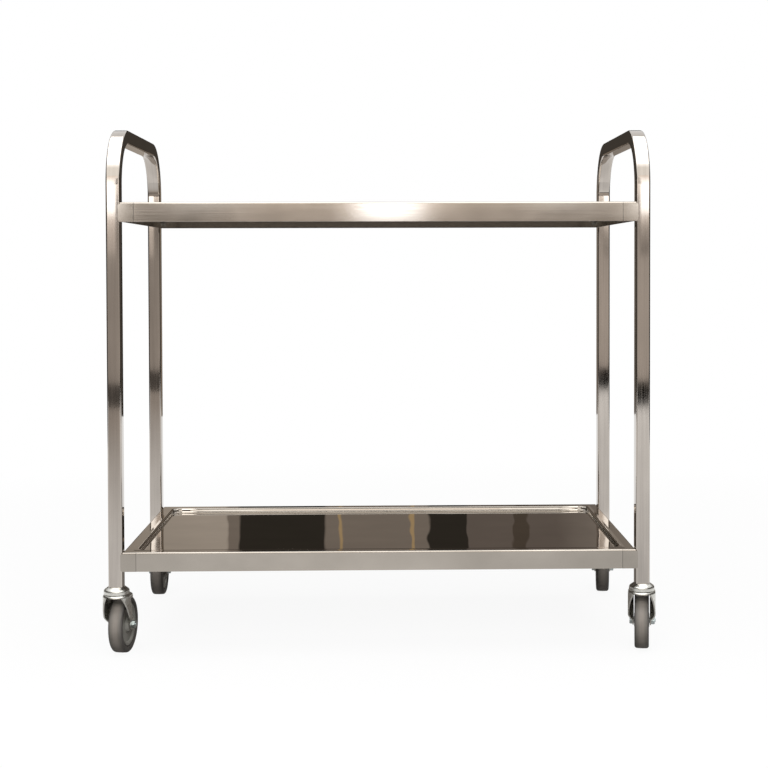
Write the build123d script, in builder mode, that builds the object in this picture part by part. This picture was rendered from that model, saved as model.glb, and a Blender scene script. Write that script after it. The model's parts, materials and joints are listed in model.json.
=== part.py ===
"""Two-tier serving trolley of square stainless tube and pressed trays, on four swivel casters.

Millimetres, +Z up. The origin is on the floor, midway between the four legs. X runs along the
trolley, -Y is the front. Each sub-part is one STEP file in parts/.
"""

import os
from math import cos, radians, sin

from build123d import *

os.makedirs("parts", exist_ok=True)

# Overall size
length = 950.0  # across the outer faces of the two end frames
width = 500.0  # across the outer faces of the front and back legs
height = 930.0  # floor to the top of the handles

# Square tube of the end frames
tube_side = 25.0
tube_wall = 1.2
tube_corner = 3.0
bend_radius = 90.0  # centre line of the bends between legs and handle

# Pressed trays
upper_tray_drop = 132.5  # top of the handles down to the upper rim
lower_tray_rise = 61.5  # foot of the legs up to the lower rim
tray_sheet = 1.2
skirt_height = 34.0
skirt_proud = 1.0  # long skirts stand in front of the leg faces
rim_width = 25.0
rim_round = 3.0
recess_depth = 7.5
recess_corner = 16.0
recess_round = 4.0  # inner edge of the rim
floor_round = 2.5
hem_width = 12.0  # inward fold along the foot of the long skirts
strap_length = 27.0  # doubled sheet at each end of a long skirt
strap_lap = 3.5  # how far a strap reaches over the edge of a leg
strap_step = 0.5  # how far a strap stands out from its skirt
strap_corner = 4.0

# Tray fixings, hidden inside the short skirts
bolt_drop = 13.0  # rim down to the bolt
bolt_radius = 3.0
bolt_reach = 12.0
bolt_head_corners = 11.0
bolt_head_height = 4.0
washer_radius = 6.0
washer_thickness = 1.2
rivet_nut_radius = 4.5
rivet_nut_length = 13.0
rivet_collar_radius = 6.0
rivet_collar_height = 2.0

# Caster wheel
wheel_diameter = 100.0
tyre_width = 25.5
tyre_depth = 13.0  # rubber outside the hub's rim
tyre_crown = 0.8  # rise of the tread from shoulder to middle
tyre_shoulder = 4.5
bead_height = 2.5
bead_inset = 1.0  # bead inside the hub's rim lip
rim_lip = 3.0
rim_recess = 1.75  # rim lip inside the tyre's side
hub_web_width = 15.0
hub_boss_radius = 12.0
hub_boss_slope = 3.0
bush_wall = 1.5

# Axle
axle_radius = 4.0
axle_head_corners = 15.0
axle_head_height = 5.3
axle_nut_height = 6.5
axle_end = 1.5  # thread showing past the nut
sleeve_wall = 2.0

# Caster fork
trail = 35.0  # axle behind the swivel axis
fork_sheet = 2.3
arm_blend = 14.0  # hollow curve from the round head into the arms
arm_end_radius = 9.0
crown_gap = 9.0  # tyre to the underside of the crown
crown_sheet = 2.5
crown_round = 5.0
crown_skirt = 8.5  # depth of the crown's sides
crown_band = 4.5  # depth of its front band, above the wheel opening
crown_back = 24.0  # back edge behind the swivel axis
crown_corner = 10.0
crown_margin = 1.8  # crown outside the swivel cap
opening_front = 18.2  # arm edges ahead of the swivel axis, at the band
knee_back = 6.0
knee_rise = 24.0  # knee of the arm edge above the axle
knee_radius = 8.0

# Swivel bearing and stem
cap_height = 12.7
cap_slope_height = 6.0
cap_flat_radius = 14.5
cap_wall = 2.0
cap_gap = 0.8  # cap rim above the crown
race_radius = 16.5
race_width = 6.0
race_lower_height = 1.9
race_upper_gap = 2.9  # lower race to upper race
ball_radius = 2.5
ball_count = 16
pin_radius = 5.0
pin_head_radius = 9.0
pin_head_height = 3.0
stem_radius = 6.0
stem_length = 26.0
stem_chamfer = 1.0
collar_radius = 8.5
collar_height = 2.5
plug_height = 28.0

# Clearances
thread_clearance = 0.05
running_clearance = 0.05
seat_clearance = 0.03
ball_clearance = 0.3
lift_clearance = 0.3
hub_clearance = 0.7  # hub boss to each arm
tyre_clearance = 1.45  # tyre side to each arm
race_clearance = 1.0  # lower race to the cap's rim

# How far each caster is turned about its stem, degrees from straight
caster_turns = {
    "front_left": -8.2,
    "front_right": -10.0,
    "back_left": -0.4,
    "back_right": -6.3,
}

# Heights in a caster, floor upwards
axle_height = wheel_diameter / 2
arm_foot = axle_height - arm_end_radius
crown_under = wheel_diameter + crown_gap
crown_top = crown_under + crown_sheet
skirt_foot = crown_top - crown_skirt
band_foot = crown_top - crown_band
race_foot = crown_top + race_lower_height
ball_height = race_foot + race_upper_gap / 2
upper_race_foot = race_foot + race_upper_gap
cap_foot = crown_top + cap_gap
leg_foot = cap_foot + cap_height
pin_foot = crown_under - lift_clearance - pin_head_height
collar_top = leg_foot - cap_wall
stem_top = leg_foot + stem_length

# Places of the legs, trays and their fixings
leg_x = (length - tube_side) / 2
leg_y = (width - tube_side) / 2
inner_x = length / 2 - tube_side
bar_z = height - tube_side / 2
upper_tray_top = height - upper_tray_drop
lower_tray_top = leg_foot + lower_tray_rise
bore_side = tube_side - 2 * tube_wall
bore_corner = tube_corner - tube_wall
tray_length = 2 * inner_x
tray_width = width + 2 * skirt_proud
strap_out = tray_width / 2 + strap_step
washer_x = inner_x - tray_sheet
head_x = washer_x - washer_thickness

# Widths in a caster, from the axle outwards
sleeve_radius = axle_radius + sleeve_wall
bush_radius = sleeve_radius + running_clearance + bush_wall
hub_bore = bush_radius + seat_clearance
rim_radius = wheel_diameter / 2 - tyre_depth
rim_half = tyre_width / 2 - rim_recess
tyre_bore = rim_radius + seat_clearance
bead_half = rim_half - bead_inset
tyre_half = tyre_width / 2
tread_edge = wheel_diameter / 2 - tyre_crown
arm_inner = tyre_half + tyre_clearance
arm_outer = arm_inner + fork_sheet
hub_half = arm_inner - hub_clearance
race_inner = race_radius - race_width / 2
race_outer = race_radius + race_width / 2
cap_radius = race_outer + race_clearance + cap_wall
crown_radius = cap_radius + crown_margin
arm_reach = trail + 2 * arm_end_radius  # arms drawn past their rounded ends, then trimmed


def keep(builder, name):
    """Label a finished piece and write it under its own name."""
    builder.part.label = name
    export_step(builder.part, f"parts/{name}.step")


# End frames: one tube each, bent into two legs and a handle
for name, side in (("left_end_frame", -1), ("right_end_frame", 1)):
    with BuildPart() as end_frame:
        with BuildLine(Plane.YZ.offset(side * leg_x)):
            FilletPolyline(
                (-leg_y, leg_foot),
                (-leg_y, bar_z),
                (leg_y, bar_z),
                (leg_y, leg_foot),
                radius=bend_radius,
            )
        with BuildSketch(Plane(origin=(side * leg_x, -leg_y, leg_foot))):
            RectangleRounded(tube_side, tube_side, tube_corner)
            RectangleRounded(bore_side, bore_side, bore_corner, mode=Mode.SUBTRACT)
        sweep()
        with BuildSketch(Plane.YZ.offset(side * inner_x)):
            for tray_top in (upper_tray_top, lower_tray_top):
                with Locations((-leg_y, tray_top - bolt_drop), (leg_y, tray_top - bolt_drop)):
                    Circle(rivet_nut_radius + seat_clearance)
        extrude(amount=side * tube_wall, mode=Mode.SUBTRACT)
    keep(end_frame, name)

# Rivet nuts: set in the inner leg faces, flush, with a collar behind the wall
for name, side in (("left_rivet_nuts", -1), ("right_rivet_nuts", 1)):
    with BuildPart() as rivet_nuts:
        for start, reach, radius in (
            (0.0, rivet_nut_length, rivet_nut_radius),
            (tube_wall, rivet_collar_height, rivet_collar_radius),
        ):
            with BuildSketch(Plane.YZ.offset(side * (inner_x + start))):
                for tray_top in (upper_tray_top, lower_tray_top):
                    with Locations((-leg_y, tray_top - bolt_drop), (leg_y, tray_top - bolt_drop)):
                        Circle(radius)
            extrude(amount=side * reach)
        with BuildSketch(Plane.YZ.offset(side * inner_x)):
            for tray_top in (upper_tray_top, lower_tray_top):
                with Locations((-leg_y, tray_top - bolt_drop), (leg_y, tray_top - bolt_drop)):
                    Circle(bolt_radius + thread_clearance)
        extrude(amount=side * rivet_nut_length, mode=Mode.SUBTRACT)
    keep(rivet_nuts, name)

# Trays, with the bolts and washers that hold their short skirts to the legs
for tier, tray_top in (("upper", upper_tray_top), ("lower", lower_tray_top)):
    tray_foot = tray_top - skirt_height
    bolt_z = tray_top - bolt_drop
    with BuildPart() as tray:
        # pressed pan: skirts, rim and recess are one sheet
        with BuildSketch(Plane.XY.offset(tray_foot)):
            Rectangle(tray_length, tray_width)
        extrude(amount=skirt_height)
        fillet(tray.faces().sort_by(Axis.Z)[-1].edges(), rim_round)
        with BuildSketch(Plane.XY.offset(tray_top)):
            RectangleRounded(tray_length - 2 * rim_width, tray_width - 2 * rim_width, recess_corner)
        extrude(amount=-recess_depth, mode=Mode.SUBTRACT)
        fillet(tray.faces().filter_by(Axis.Z).sort_by(Axis.Z)[-2].edges(), floor_round)
        fillet(tray.faces().sort_by(Axis.Z)[-1].inner_wires()[0].edges(), recess_round)
        offset(amount=-tray_sheet, openings=tray.faces().sort_by(Axis.Z)[0])
        # folded hems along the foot of the long skirts
        with BuildSketch(Plane.XY.offset(tray_foot)):
            with GridLocations(0, tray_width - hem_width, 1, 2):
                Rectangle(tray_length, hem_width)
        extrude(amount=tray_sheet)
        # corner straps, doubled over the skirt ends and lapping the legs
        strap_top = tray_top - rim_round
        for front in (-1, 1):
            with BuildSketch(Plane.XZ.offset(front * strap_out)):
                for end in (-1, 1):
                    strap_tip = end * (tray_length / 2 + strap_lap)
                    strap_root = strap_tip - end * strap_length
                    with BuildLine():
                        FilletPolyline(
                            (strap_root, tray_foot),
                            (strap_tip, tray_foot),
                            (strap_tip, strap_top),
                            (strap_root, strap_top),
                            radius=(strap_corner, rim_round),
                        )
                        Line((strap_root, strap_top), (strap_root, tray_foot))
                    make_face()
            extrude(amount=-front * (strap_out - width / 2))
        # bolt holes in the short skirts
        for side in (-1, 1):
            with BuildSketch(Plane.YZ.offset(side * inner_x)):
                with Locations((-leg_y, bolt_z), (leg_y, bolt_z)):
                    Circle(bolt_radius + seat_clearance)
            extrude(amount=-side * tray_sheet, mode=Mode.SUBTRACT)
    keep(tray, f"{tier}_tray")

    with BuildPart() as washers:
        for side in (-1, 1):
            with BuildSketch(Plane.YZ.offset(side * washer_x)):
                with Locations((-leg_y, bolt_z), (leg_y, bolt_z)):
                    Circle(washer_radius)
                    Circle(bolt_radius + seat_clearance, mode=Mode.SUBTRACT)
            extrude(amount=-side * washer_thickness)
    keep(washers, f"{tier}_tray_washers")

    with BuildPart() as bolts:
        for side in (-1, 1):
            with BuildSketch(Plane.YZ.offset(side * head_x)):
                with Locations((-leg_y, bolt_z), (leg_y, bolt_z)):
                    RegularPolygon(bolt_head_corners / 2, 6)
            extrude(amount=-side * bolt_head_height)
            with BuildSketch(Plane.YZ.offset(side * head_x)):
                with Locations((-leg_y, bolt_z), (leg_y, bolt_z)):
                    Circle(bolt_radius)
            extrude(amount=side * bolt_reach)
    keep(bolts, f"{tier}_tray_bolts")

# Leg plugs: threaded blocks fixed in the leg ends
with BuildPart() as leg_plugs:
    plug_side = bore_side - 2 * seat_clearance
    with BuildSketch(Plane.XY.offset(leg_foot)):
        with GridLocations(2 * leg_x, 2 * leg_y, 2, 2):
            RectangleRounded(plug_side, plug_side, bore_corner)
            Circle(stem_radius + thread_clearance, mode=Mode.SUBTRACT)
    extrude(amount=plug_height)
keep(leg_plugs, "leg_plugs")

# Casters, one at the foot of each leg
for corner, turn in caster_turns.items():
    side_x = 1 if corner.endswith("right") else -1
    side_y = 1 if corner.startswith("back") else -1
    post = Vector(side_x * leg_x, side_y * leg_y, 0)
    axle_dir = Vector(cos(radians(turn)), sin(radians(turn)), 0)
    trail_dir = Vector(-sin(radians(turn)), cos(radians(turn)), 0)
    hub_centre = post + trail_dir * trail + Vector(0, 0, axle_height)
    swivel_axis = Axis(post, (0, 0, 1))
    spin_axis = Axis(hub_centre, axle_dir)
    plan = Plane(origin=post, x_dir=axle_dir, z_dir=(0, 0, 1))
    flank = Plane(origin=post, x_dir=trail_dir, z_dir=axle_dir)
    wheel_plane = Plane(origin=hub_centre, x_dir=axle_dir, z_dir=-trail_dir)
    axle_spot = (trail, axle_height)

    # Stem: threaded into the leg, with a collar under the cap and a kingpin through the crown
    with BuildPart() as stem:
        with BuildSketch(flank):
            with BuildLine():
                Polyline(
                    (0, pin_foot),
                    (pin_head_radius, pin_foot),
                    (pin_head_radius, pin_foot + pin_head_height),
                    (pin_radius, pin_foot + pin_head_height),
                    (pin_radius, collar_top - collar_height),
                    (collar_radius, collar_top - collar_height),
                    (collar_radius, collar_top),
                    (stem_radius, collar_top),
                    (stem_radius, stem_top - stem_chamfer),
                    (stem_radius - stem_chamfer, stem_top),
                    (0, stem_top),
                    close=True,
                )
            make_face()
        revolve(axis=swivel_axis)
    keep(stem, f"{corner}_caster_stem")

    # Swivel cap: domed upper race, clamped between the leg and the collar
    with BuildPart() as cap:
        with BuildSketch(flank):
            with BuildLine():
                Polyline(
                    (stem_radius + seat_clearance, leg_foot),
                    (cap_flat_radius, leg_foot),
                    (cap_radius, leg_foot - cap_slope_height),
                    (cap_radius, cap_foot),
                    (cap_radius - cap_wall, cap_foot),
                    (cap_radius - cap_wall, upper_race_foot),
                    (race_inner, upper_race_foot),
                    (race_inner, collar_top),
                    (stem_radius + seat_clearance, collar_top),
                    close=True,
                )
            make_face()
            with Locations((race_radius, ball_height)):
                Circle(ball_radius + ball_clearance, mode=Mode.SUBTRACT)
        revolve(axis=swivel_axis)
        rim_edges = cap.edges().filter_by(GeomType.CIRCLE).group_by(SortBy.RADIUS)[-1]
        fillet(rim_edges.sort_by(Axis.Z)[-1], cap_wall)
    keep(cap, f"{corner}_swivel_cap")

    # Swivel balls: a ring in the groove on top of the crown
    with BuildPart() as balls:
        with Locations(plan.offset(ball_height)):
            with PolarLocations(race_radius, ball_count):
                Sphere(ball_radius)
    keep(balls, f"{corner}_swivel_balls")

    # Fork: pressed crown and round head that draws in to two flat arms, with the lower ball race
    with BuildPart() as fork:
        with BuildSketch(plan.offset(skirt_foot)) as crown_plan:
            Circle(crown_radius)
            Rectangle(2 * crown_radius, crown_back, align=(Align.CENTER, Align.MIN))
            fillet(crown_plan.vertices().group_by(Axis.Y)[-1], crown_corner)
        extrude(amount=crown_skirt)
        fillet(fork.faces().sort_by(Axis.Z)[-1].edges(), crown_round)
        with BuildSketch(plan.offset(arm_foot)) as head_plan:
            Circle(crown_radius)
            Rectangle(2 * arm_outer, arm_reach, align=(Align.CENTER, Align.MIN))
            fillet(head_plan.vertices().group_by(Axis.Y)[-2], arm_blend)
        extrude(amount=skirt_foot - arm_foot)
        with BuildSketch(plan.offset(skirt_foot)) as crown_pocket:
            Circle(crown_radius - fork_sheet)
            Rectangle(
                2 * (crown_radius - fork_sheet),
                crown_back - fork_sheet,
                align=(Align.CENTER, Align.MIN),
            )
            fillet(crown_pocket.vertices().group_by(Axis.Y)[-1], crown_corner - fork_sheet)
        extrude(amount=crown_under - skirt_foot, mode=Mode.SUBTRACT)
        with BuildSketch(plan.offset(arm_foot)) as wheel_space:
            Circle(crown_radius - fork_sheet)
            Rectangle(2 * arm_inner, arm_reach, align=(Align.CENTER, Align.MIN))
            fillet(wheel_space.vertices().group_by(Axis.Y)[-2], arm_blend + fork_sheet)
        extrude(amount=crown_under - arm_foot, mode=Mode.SUBTRACT)
        # trim to the side outline: front band, slanting arm edges and round arm ends
        with BuildSketch(flank):
            with BuildLine():
                Line((-opening_front, band_foot), (crown_back, band_foot))
                CenterArc((knee_back, axle_height + knee_rise), knee_radius, 0, 360)
                CenterArc(axle_spot, arm_end_radius, 0, 360)
            make_hull()
            with Locations((crown_back, band_foot)):
                Rectangle(crown_back + crown_radius, crown_band, align=(Align.MAX, Align.MIN))
        extrude(amount=crown_radius, both=True, mode=Mode.INTERSECT)
        with BuildSketch(flank):
            with Locations(axle_spot):
                Circle(axle_radius + seat_clearance)
        extrude(amount=crown_radius, both=True, mode=Mode.SUBTRACT)
        # lower ball race and kingpin bore
        with BuildSketch(plan.offset(crown_top)):
            Circle(race_outer)
        extrude(amount=race_lower_height)
        with BuildSketch(plan.offset(race_foot)):
            Circle(pin_radius + running_clearance)
        extrude(amount=crown_under - race_foot, mode=Mode.SUBTRACT)
        with BuildSketch(flank):
            with Locations((race_radius, ball_height)):
                Circle(ball_radius + seat_clearance)
        revolve(axis=swivel_axis, mode=Mode.SUBTRACT)
    keep(fork, f"{corner}_fork")

    # Axle bolt: hexagon head outside one arm, thread showing past the nut outside the other
    with BuildPart() as axle_bolt:
        with BuildSketch(flank.offset(-arm_outer)):
            with Locations(axle_spot):
                RegularPolygon(axle_head_corners / 2, 6)
        extrude(amount=-axle_head_height)
        with BuildSketch(flank.offset(-arm_outer)):
            with Locations(axle_spot):
                Circle(axle_radius)
        extrude(amount=2 * arm_outer + axle_nut_height + axle_end)
    keep(axle_bolt, f"{corner}_axle_bolt")

    with BuildPart() as axle_nut:
        with BuildSketch(flank.offset(arm_outer)):
            with Locations(axle_spot):
                RegularPolygon(axle_head_corners / 2, 6)
                Circle(axle_radius + thread_clearance, mode=Mode.SUBTRACT)
        extrude(amount=axle_nut_height)
    keep(axle_nut, f"{corner}_axle_nut")

    # Axle sleeve: clamped between the arms, so the wheel can't be pinched
    with BuildPart() as axle_sleeve:
        with BuildSketch(flank):
            with Locations(axle_spot):
                Circle(sleeve_radius)
                Circle(axle_radius + seat_clearance, mode=Mode.SUBTRACT)
        extrude(amount=arm_inner, both=True)
    keep(axle_sleeve, f"{corner}_axle_sleeve")

    # Hub bush: plain bearing that turns on the sleeve
    with BuildPart() as hub_bush:
        with BuildSketch(flank):
            with Locations(axle_spot):
                Circle(bush_radius)
                Circle(sleeve_radius + running_clearance, mode=Mode.SUBTRACT)
        extrude(amount=hub_half, both=True)
    keep(hub_bush, f"{corner}_hub_bush")

    # Wheel hub: moulded boss, web and rim
    with BuildPart() as wheel_hub:
        with BuildSketch(wheel_plane):
            with BuildLine():
                Polyline(
                    (0, hub_bore),
                    (hub_half, hub_bore),
                    (hub_half, hub_boss_radius),
                    (hub_web_width / 2, hub_boss_radius + hub_boss_slope),
                    (hub_web_width / 2, rim_radius - 2 * rim_lip),
                    (rim_half, rim_radius - rim_lip),
                    (rim_half, rim_radius),
                    (0, rim_radius),
                    close=True,
                )
            make_face()
            mirror(about=Plane.YZ)
        revolve(axis=spin_axis)
    keep(wheel_hub, f"{corner}_wheel_hub")

    # Tyre: rubber ring with a flat tread, rounded shoulders and a narrower bead
    with BuildPart() as tyre:
        with BuildSketch(wheel_plane):
            with BuildLine():
                Polyline(
                    (-tyre_half, tread_edge),
                    (-tyre_half, tyre_bore + 2 * bead_height),
                    (-bead_half, tyre_bore + bead_height),
                    (-bead_half, tyre_bore),
                    (bead_half, tyre_bore),
                    (bead_half, tyre_bore + bead_height),
                    (tyre_half, tyre_bore + 2 * bead_height),
                    (tyre_half, tread_edge),
                )
                ThreePointArc(
                    (tyre_half, tread_edge),
                    (0, wheel_diameter / 2),
                    (-tyre_half, tread_edge),
                )
            tread = make_face()
            fillet(tread.vertices().group_by(Axis.Y)[-1], tyre_shoulder)
        revolve(axis=spin_axis)
    keep(tyre, f"{corner}_tyre")
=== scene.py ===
import json
from math import asin, copysign, cos, pi, radians, sin, tan

import bmesh
import bpy
from mathutils import Matrix, Vector

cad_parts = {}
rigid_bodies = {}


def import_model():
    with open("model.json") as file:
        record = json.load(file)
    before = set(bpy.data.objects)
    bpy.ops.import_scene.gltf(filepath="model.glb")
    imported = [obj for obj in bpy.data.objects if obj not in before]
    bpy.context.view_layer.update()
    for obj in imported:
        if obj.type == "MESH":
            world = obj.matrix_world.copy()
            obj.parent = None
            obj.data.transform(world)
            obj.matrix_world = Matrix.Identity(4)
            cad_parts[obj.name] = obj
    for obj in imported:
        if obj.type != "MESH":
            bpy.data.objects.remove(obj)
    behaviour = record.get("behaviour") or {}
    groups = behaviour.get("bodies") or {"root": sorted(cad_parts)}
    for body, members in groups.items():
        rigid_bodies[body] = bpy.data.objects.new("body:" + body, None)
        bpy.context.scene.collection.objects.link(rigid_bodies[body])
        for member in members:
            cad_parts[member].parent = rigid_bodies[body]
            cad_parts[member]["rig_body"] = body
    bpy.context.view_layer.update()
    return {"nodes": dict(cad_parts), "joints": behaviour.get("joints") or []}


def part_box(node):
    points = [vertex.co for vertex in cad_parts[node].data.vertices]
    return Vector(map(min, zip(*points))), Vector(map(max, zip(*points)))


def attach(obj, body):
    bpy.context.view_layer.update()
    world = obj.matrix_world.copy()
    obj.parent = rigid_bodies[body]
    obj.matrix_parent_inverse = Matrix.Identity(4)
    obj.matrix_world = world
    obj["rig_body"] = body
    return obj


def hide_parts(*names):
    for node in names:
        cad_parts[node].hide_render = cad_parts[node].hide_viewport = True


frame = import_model()
nodes = frame["nodes"]

# End frames: one length of square stainless tube each, bent twice on a former, so that two legs and
# the push handle are a single piece. The tube is brushed along its length to a satin finish, and each
# inner leg face is drilled for the rivet nuts.
tube_low, tube_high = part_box("right_end_frame")
TUBE_SIDE = tube_high.x - tube_low.x
TUBE_CORNER = 0.003
TUBE_WALL = 0.0012
BEND_RADIUS = 0.090
LEG_X = (tube_low.x + tube_high.x) / 2
LEG_Y = tube_high.y - TUBE_SIDE / 2
LEG_FOOT = tube_low.z
BAR_HEIGHT = tube_high.z - TUBE_SIDE / 2
BEND_FACETS = 40
CORNER_FACETS = 5
UPPER_BOLT, LOWER_BOLT = (
    sum(corner.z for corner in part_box(f"{tier}_tray_bolts")) / 2 for tier in ("upper", "lower")
)
NUT_HOLE = 0.00453
NUT_HOLE_FACETS = 40
DRILL_REACH = 4.0  # tube walls
TUBE_DARK = (0.43, 0.392, 0.355, 1.0)
TUBE_LIGHT = (0.56, 0.512, 0.465, 1.0)
TUBE_BRUSHING = (900.0, 900.0, 7.0)  # marks per metre, as in every finish
TUBE_STREAKS = (230.0, 230.0, 5.0)
STREAK_SHARE = 0.5
TUBE_CLOUDS = (16.0, 16.0, 11.0)
TUBE_WAVES = (11.0, 11.0, 8.0)
BRUSHED_ROUGHNESS = (0.02, 0.05)
CLOUDED_ROUGHNESS = 0.025
BRUSHING_HEIGHT = 0.000003
WAVE_HEIGHT = 0.00008


def feed(tree, socket, value):
    """Give a socket a number, a vector, another node's outlet or several outlets."""
    if isinstance(value, bpy.types.NodeSocket):
        tree.links.new(value, socket)
    elif isinstance(value, list):
        for outlet in value:
            tree.links.new(outlet, socket)
    else:
        socket.default_value = value


def block(tree, kind, inputs, **settings):
    """One node, set up and fed by the names of its inputs: gives its first outlet."""
    made = tree.nodes.new(kind)
    for setting, choice in settings.items():
        setattr(made, setting, choice)
    for name, value in inputs.items():
        feed(tree, made.inputs[name], value)
    return made.outputs[0]


def sum_of(tree, operation, first, second=0.0):
    """One sum on two numbers."""
    return block(tree, "ShaderNodeMath", {0: first, 1: second}, operation=operation)


def apart(tree, place):
    """A place's X, Y and Z, each as a number."""
    axes = tree.nodes.new("ShaderNodeSeparateXYZ")
    tree.links.new(place, axes.inputs[0])
    return axes.outputs


def start_finish(name, metallic, roughness):
    """A new material: its tree, its shader and the piece's own coordinates."""
    finish = bpy.data.materials.new(name)
    finish.use_nodes = True
    shader = finish.node_tree.nodes["Principled BSDF"]
    shader.inputs["Metallic"].default_value = metallic
    shader.inputs["Roughness"].default_value = roughness
    coords = finish.node_tree.nodes.new("ShaderNodeTexCoord")
    return finish, finish.node_tree, shader, coords.outputs


def marks(tree, place, per_metre, detail=3.0):
    """Noise with so many marks per metre along X, Y and Z."""
    stretched = block(tree, "ShaderNodeMapping", {"Vector": place, "Scale": per_metre})
    return block(tree, "ShaderNodeTexNoise", {"Vector": stretched, "Scale": 1.0, "Detail": detail})


def span(tree, amount, low, high, start=0.3, end=0.7):
    """Stretch a number that runs from start to end so that it runs from low to high."""
    return block(tree, "ShaderNodeMapRange", {
        "Value": amount, "From Min": start, "From Max": end, "To Min": low, "To Max": high,
    })


def shade(tree, amount, dark, light):
    """Turn a number from 0 to 1 into a colour between two."""
    mix = tree.nodes.new("ShaderNodeMix")
    mix.data_type = "RGBA"
    feed(tree, mix.inputs[0], amount)
    feed(tree, mix.inputs[6], dark)
    feed(tree, mix.inputs[7], light)
    return mix.outputs[2]


def relief(tree, amount, height, below=None):
    """Raise the surface by noise, on top of other relief."""
    inputs = {"Distance": height, "Height": amount}
    if below is not None:
        inputs["Normal"] = below
    return block(tree, "ShaderNodeBump", inputs)


satin_tube, tree, shader, coords = start_finish("satin_tube", metallic=1.0, roughness=0.06)
axes = apart(tree, coords["Object"])
beside = sum_of(tree, "ABSOLUTE", axes["Y"])
past_leg = sum_of(tree, "MAXIMUM", sum_of(tree, "SUBTRACT", beside, LEG_Y - BEND_RADIUS), 0.0)
past_bar = sum_of(tree, "MAXIMUM", sum_of(tree, "SUBTRACT", axes["Z"], BAR_HEIGHT - BEND_RADIUS), 0.0)
from_bend = sum_of(tree, "SQRT", sum_of(
    tree, "ADD", sum_of(tree, "MULTIPLY", past_leg, past_leg), sum_of(tree, "MULTIPLY", past_bar, past_bar)
))
along_tube = block(tree, "ShaderNodeCombineXYZ", {
    "X": axes["X"], "Y": from_bend, "Z": sum_of(tree, "SUBTRACT", axes["Z"], beside),
})
brushing = marks(tree, along_tube, TUBE_BRUSHING, detail=4.0)
streaks = marks(tree, along_tube, TUBE_STREAKS, detail=2.0)
clouds = marks(tree, coords["Object"], TUBE_CLOUDS)
tone = sum_of(
    tree, "ADD", span(tree, clouds, 0.0, 1.0 - STREAK_SHARE), span(tree, streaks, 0.0, STREAK_SHARE)
)
tree.links.new(shade(tree, tone, TUBE_DARK, TUBE_LIGHT), shader.inputs["Base Color"])
tree.links.new(
    sum_of(tree, "ADD", span(tree, brushing, *BRUSHED_ROUGHNESS), span(tree, clouds, 0.0, CLOUDED_ROUGHNESS)),
    shader.inputs["Roughness"],
)
waves = relief(tree, marks(tree, coords["Object"], TUBE_WAVES, detail=1.0), WAVE_HEIGHT)
tree.links.new(relief(tree, brushing, BRUSHING_HEIGHT, waves), shader.inputs["Normal"])


def start_tree(name, sizes):
    """A node tree with a named input for each size: gives those inputs too."""
    tree = bpy.data.node_groups.new(name, "GeometryNodeTree")
    for label, value in sizes.items():
        kind = "NodeSocketInt" if isinstance(value, int) else "NodeSocketFloat"
        tree.interface.new_socket(label, in_out="INPUT", socket_type=kind)
    tree.interface.new_socket("Piece", in_out="OUTPUT", socket_type="NodeSocketGeometry")
    outlets = tree.nodes.new("NodeGroupInput").outputs
    return tree, {label: outlets[label] for label in sizes}


def end_tree(tree, shape, finish):
    """End a tree with real faces that wear a finish."""
    real = block(tree, "GeometryNodeRealizeInstances", {"Geometry": shape})
    worn = block(tree, "GeometryNodeSetMaterial", {"Geometry": real, "Material": finish})
    tree.links.new(worn, tree.nodes.new("NodeGroupOutput").inputs["Piece"])


def keep_result(piece):
    """Make a piece's modifiers its plain mesh."""
    seen = piece.evaluated_get(bpy.context.evaluated_depsgraph_get())
    mesh = bpy.data.meshes.new_from_object(seen)
    piece.modifiers.clear()
    piece.data = mesh
    mesh.name = piece.name


def ease(piece, angle=35.0):
    """Shade the round faces smooth, keep the edges and hold the flats flat."""
    piece.data.shade_smooth()
    piece.data.set_sharp_from_angle(angle=radians(angle))
    piece.modifiers.new("flats", "WEIGHTED_NORMAL").keep_sharp = True
    keep_result(piece)


def settle(tree, name, sizes, placing=None):
    """Run a tree once with these sizes, lay the result in its place and keep it as a plain mesh."""
    piece = bpy.data.objects.new(name, bpy.data.meshes.new(name))
    bpy.context.scene.collection.objects.link(piece)
    making = piece.modifiers.new("making", "NODES")
    making.node_group = tree
    for socket in tree.interface.items_tree:
        if socket.in_out == "INPUT":
            making[socket.identifier] = sizes[socket.name]
    keep_result(piece)
    if placing is not None:
        piece.data.transform(placing)
    ease(piece)
    return piece


def stand_for(piece, node):
    """Let a made piece ride where its node rides and take its place."""
    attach(piece, nodes[node]["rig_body"])
    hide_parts(node)


def point(tree, x, y, z):
    """A place from three numbers."""
    return block(tree, "ShaderNodeCombineXYZ", {"X": x, "Y": y, "Z": z})


def swept_square(tree, size, side, corner, foot):
    """A rounded square swept along the bent path, from foot to foot."""
    front = sum_of(tree, "MULTIPLY", size["Leg y"], -1.0)
    spots = [
        point(tree, size["Leg x"], y, z) for y, z in (
            (front, foot), (front, size["Bar height"]),
            (size["Leg y"], size["Bar height"]), (size["Leg y"], foot),
        )
    ]
    corners = block(tree, "GeometryNodeCurvePrimitiveQuadrilateral", {
        f"Point {i + 1}": spot for i, spot in enumerate(spots)
    }, mode="POINTS")
    path = block(tree, "GeometryNodeSetSplineCyclic", {"Geometry": corners, "Cyclic": False})
    bent = block(tree, "GeometryNodeFilletCurve", {
        "Curve": path, "Radius": size["Bend radius"], "Count": size["Bend facets"],
    }, mode="POLY")
    square = block(tree, "GeometryNodeCurvePrimitiveQuadrilateral", {"Width": side, "Height": side})
    section = block(tree, "GeometryNodeFilletCurve", {
        "Curve": square, "Radius": corner, "Count": size["Corner facets"],
    }, mode="POLY")
    return block(tree, "GeometryNodeCurveToMesh", {
        "Curve": bent, "Profile Curve": section, "Fill Caps": True,
    })


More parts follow.
